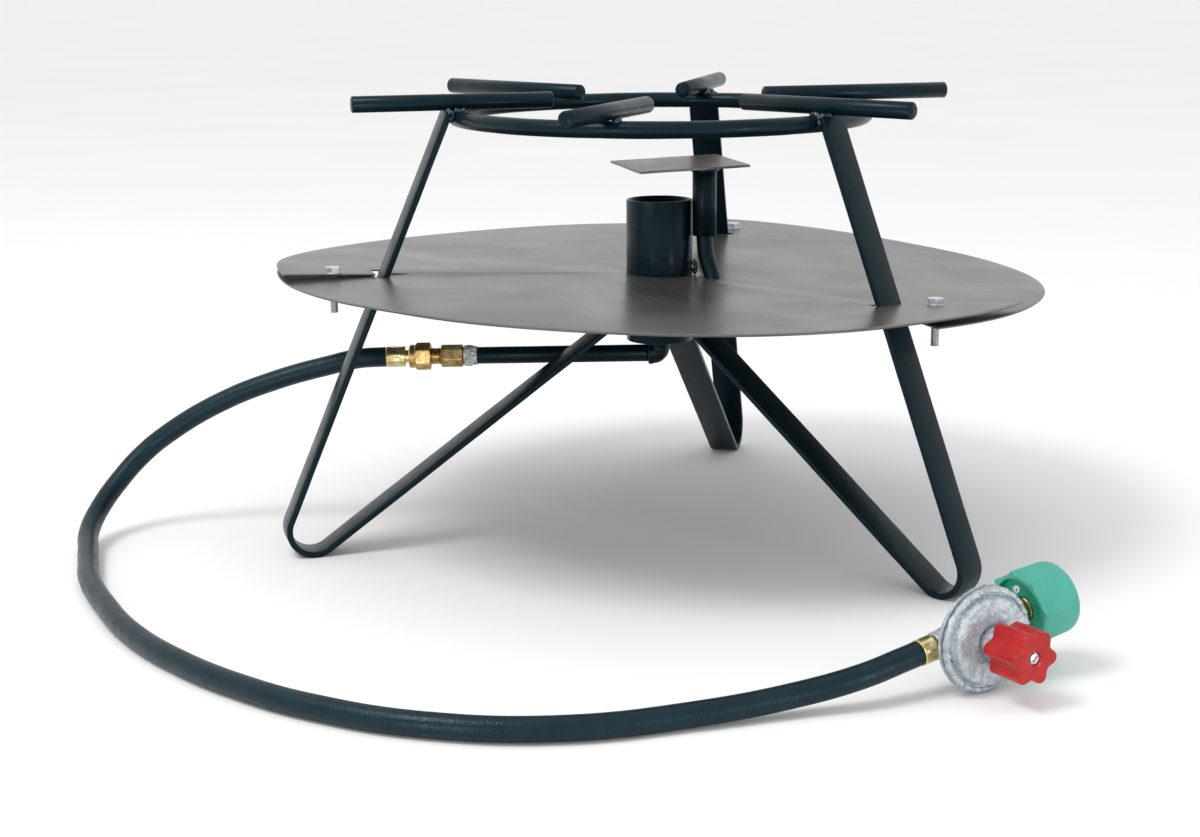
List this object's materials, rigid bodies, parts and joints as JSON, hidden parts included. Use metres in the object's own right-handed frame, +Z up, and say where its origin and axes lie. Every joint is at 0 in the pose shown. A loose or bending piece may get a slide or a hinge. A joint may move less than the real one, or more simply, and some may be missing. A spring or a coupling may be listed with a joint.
{
  "type": "propane burner stand",
  "caption": "Three-legged outdoor propane burner stand with ring-top pot rests, heat shield, swivelling flame spreader and a hose with an adjustable cylinder regulator.",
  "frame": {"origin": "on the ground, under the burner tube's axis", "axes": "+Z up; the gas line runs along -X from the burner; the stand rests on its three bent legs"},
  "size_m": [0.7603, 0.7997, 0.3547],
  "materials": {
    "black_paint": "semi-gloss sprayed black paint over welded steel",
    "shield_paint": "semi-gloss black paint on thin sheet, lightly scuffed",
    "zinc_plate": "bright zinc plate",
    "brass": "machined brass, slightly tarnished",
    "brass_wire": "bright drawn wire",
    "thread_tape": "white thread seal, smeared and dusty",
    "rubber": "matt black, finely textured",
    "cast_zinc": "sandy die-cast zinc",
    "spring_steel": "drawn spring wire",
    "red_plastic": "moulded, satin gloss",
    "green_plastic": "moulded, satin"
  },
  "bodies": {
    "stand": {"top_ring": "black_paint", "pot_rest_1": "black_paint", "pot_rest_2": "black_paint", "pot_rest_3": "black_paint", "pot_rest_4": "black_paint", "pot_rest_5": "black_paint", "pot_rest_6": "black_paint", "leg_left": "black_paint", "leg_front": "black_paint", "leg_rear": "black_paint", "burner_tube": "black_paint", "spreader_post": "black_paint", "heat_shield": "shield_paint", "shield_bolt_left": "zinc_plate", "shield_nut_left": "zinc_plate", "shield_bolt_front": "zinc_plate", "shield_nut_front": "zinc_plate", "shield_bolt_rear": "zinc_plate", "shield_nut_rear": "zinc_plate", "gas_pipe": "black_paint", "pipe_elbow": "black_paint", "gas_jet": "brass", "thread_seal": "thread_tape", "hose_adapter": "brass", "hose_stem": "brass", "regulator_body": "cast_zinc", "diaphragm": "rubber", "regulator_bonnet": "cast_zinc", "pressure_spring": "spring_steel", "inlet_nipple": "brass", "nipple_seal": "rubber", "seal_wire": "brass_wire", "outlet_ferrule": "brass", "hose": "rubber"},
    "spreader": {"spreader_sleeve": "black_paint", "spreader_plate": "black_paint"},
    "button": {"spring_button": "zinc_plate"},
    "knob": {"adjusting_screw": "zinc_plate", "knob": "red_plastic", "knob_screw": "zinc_plate"},
    "coupling_nut": {"coupling_nut": "green_plastic"},
    "flare_nut": {"flare_nut": "brass"}
  },
  "joints": [
    {"name": "spreader_swivel", "type": "hinge", "parent": "stand", "child": "spreader", "pos_m": [0.0355, -0.009, 0.27], "axis": [0, 0, 1], "continuous": true},
    {"name": "screw_travel", "type": "slide", "parent": "stand", "child": "button", "axis": [-0.5344, 0.8453, 0], "range_m": [0, 0.0046]},
    {"name": "knob_turn", "type": "hinge", "parent": "button", "child": "knob", "pos_m": [0.2045, -0.3975, 0.035], "axis": [-0.5344, 0.8453, 0], "range_deg": [0, 1080]},
    {"name": "coupling_nut_spin", "type": "hinge", "parent": "stand", "child": "coupling_nut", "pos_m": [0.19648, -0.38482, 0.035], "axis": [0.8329, 0.5266, 0.1702], "continuous": true},
    {"name": "flare_nut_spin", "type": "hinge", "parent": "stand", "child": "flare_nut", "pos_m": [0, 0.001, 0.1442], "axis": [-0.9999, 0, -0.014], "continuous": true}
  ],
  "couplings": [
    {"joint": "screw_travel", "follows": "knob_turn", "m_per_rad": 0.00023873}
  ]
}
